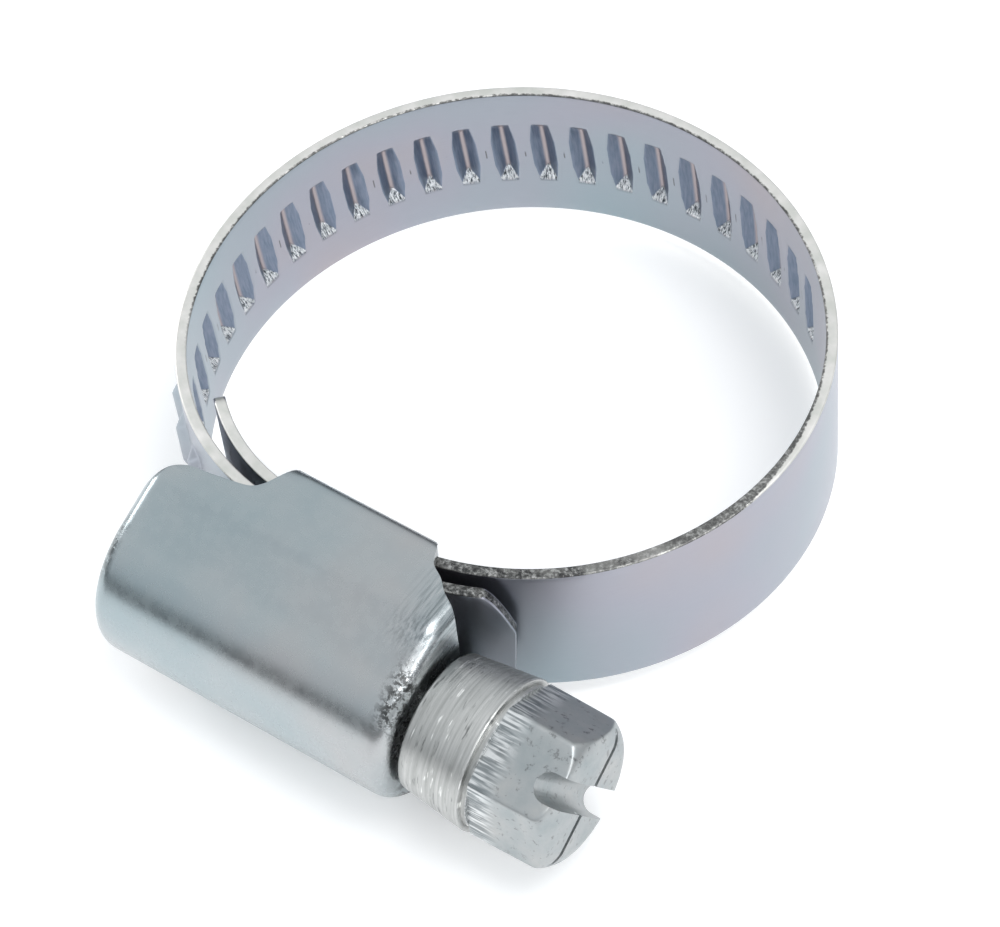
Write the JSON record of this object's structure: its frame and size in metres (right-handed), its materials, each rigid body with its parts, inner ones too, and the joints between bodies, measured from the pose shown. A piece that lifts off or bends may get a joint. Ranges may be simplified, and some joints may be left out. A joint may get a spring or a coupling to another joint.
{
  "type": "worm-drive hose clamp",
  "caption": "Worm-drive hose clamp: an embossed steel band in a pressed housing, tightened round a hose by a hexagon-head worm screw with a slot.",
  "frame": {"origin": "on the hose axis, the centre of the loop's main arc, half-way up the band's width", "axes": "+Z along the hose axis; the housing is at -Y; the screw lies along X with its head at +X"},
  "size_m": [0.0333, 0.0391, 0.0112],
  "materials": {
    "zinc_housing": "satin, bright zinc plated pressed steel",
    "zinc_band": "satin, bright zinc plated rolled steel strip",
    "turned_screw": "turned and cold formed steel, bright zinc plated"
  },
  "bodies": {
    "root": {"housing": "zinc_housing", "band_fixed_end": "zinc_band"},
    "screw": {"screw": "turned_screw"},
    "smooth_1": {"band_smooth_1": "zinc_band"},
    "smooth_2": {"band_smooth_2": "zinc_band"},
    "smooth_3": {"band_smooth_3": "zinc_band"},
    "threaded_1": {"band_threaded_1": "zinc_band"},
    "threaded_2": {"band_threaded_2": "zinc_band"},
    "threaded_3": {"band_threaded_3": "zinc_band"},
    "threaded_4": {"band_threaded_4": "zinc_band"},
    "entry_1": {"band_entry_1": "zinc_band"},
    "entry_2": {"band_entry_2": "zinc_band"},
    "under_worm": {"band_under_worm": "zinc_band"},
    "tail": {"band_tail": "zinc_band"}
  },
  "joints": [
    {"name": "screw_turn", "type": "hinge", "parent": "root", "child": "screw", "pos_m": [0, -0.0178, 0], "axis": [-1, 0, 0], "range_deg": [-360, 260]},
    {"name": "bend_smooth_1", "type": "hinge", "parent": "root", "child": "smooth_1", "pos_m": [0.00555, -0.01264, 0], "axis": [0, 0, 1], "range_deg": [-1.51, 1.51]},
    {"name": "bend_smooth_2", "type": "hinge", "parent": "smooth_1", "child": "smooth_2", "pos_m": [0.01348, -0.00674, 0], "axis": [0, 0, 1], "range_deg": [-1.27, 1.27]},
    {"name": "bend_smooth_3", "type": "hinge", "parent": "smooth_2", "child": "smooth_3", "pos_m": [0.0156, 0.00292, 0], "axis": [0, 0, 1], "range_deg": [-0.46, 0.46]},
    {"name": "bend_threaded_1", "type": "hinge", "parent": "smooth_3", "child": "threaded_1", "pos_m": [0.01095, 0.01166, 0], "axis": [0, 0, 1], "range_deg": [-1.28, 1.28]},
    {"name": "bend_threaded_2", "type": "hinge", "parent": "threaded_1", "child": "threaded_2", "pos_m": [-0.00048, 0.01599, 0], "axis": [0, 0, 1], "range_deg": [-2.06, 2.06]},
    {"name": "bend_threaded_3", "type": "hinge", "parent": "threaded_2", "child": "threaded_3", "pos_m": [-0.01163, 0.01099, 0], "axis": [0, 0, 1], "range_deg": [-1.67, 1.67]},
    {"name": "bend_threaded_4", "type": "hinge", "parent": "threaded_3", "child": "threaded_4", "pos_m": [-0.01599, -0.00042, 0], "axis": [0, 0, 1], "range_deg": [-0.46, 0.46]},
    {"name": "bend_entry_1", "type": "hinge", "parent": "threaded_4", "child": "entry_1", "pos_m": [-0.01087, -0.01144, 0], "axis": [0, 0, 1], "range_deg": [-1.08, 1.08]},
    {"name": "bend_entry_2", "type": "hinge", "parent": "entry_1", "child": "entry_2", "pos_m": [-0.00723, -0.01347, 0], "axis": [0, 0, 1], "range_deg": [-0.65, 0.65]},
    {"name": "bend_under_worm", "type": "hinge", "parent": "entry_2", "child": "under_worm", "pos_m": [-0.00314, -0.0142, 0], "axis": [0, 0, 1], "range_deg": [-0.52, 0.52]},
    {"name": "bend_tail", "type": "hinge", "parent": "under_worm", "child": "tail", "pos_m": [0.00314, -0.0142, 0], "axis": [0, 0, 1], "range_deg": [-8.16, 8.16]}
  ],
  "couplings": [
    {"joint": "bend_smooth_1", "follows": "screw_turn", "ratio": -0.004078},
    {"joint": "bend_smooth_2", "follows": "screw_turn", "ratio": -0.003427},
    {"joint": "bend_smooth_3", "follows": "screw_turn", "ratio": 0.0012},
    {"joint": "bend_threaded_1", "follows": "screw_turn", "ratio": 0.003434},
    {"joint": "bend_threaded_2", "follows": "screw_turn", "ratio": 0.005559},
    {"joint": "bend_threaded_3", "follows": "screw_turn", "ratio": 0.004494},
    {"joint": "bend_threaded_4", "follows": "screw_turn", "ratio": -0.0012},
    {"joint": "bend_entry_1", "follows": "screw_turn", "ratio": -0.002894},
    {"joint": "bend_entry_2", "follows": "screw_turn", "ratio": -0.00172},
    {"joint": "bend_under_worm", "follows": "screw_turn", "ratio": -0.001369},
    {"joint": "bend_tail", "follows": "screw_turn", "ratio": 0.022176}
  ]
}
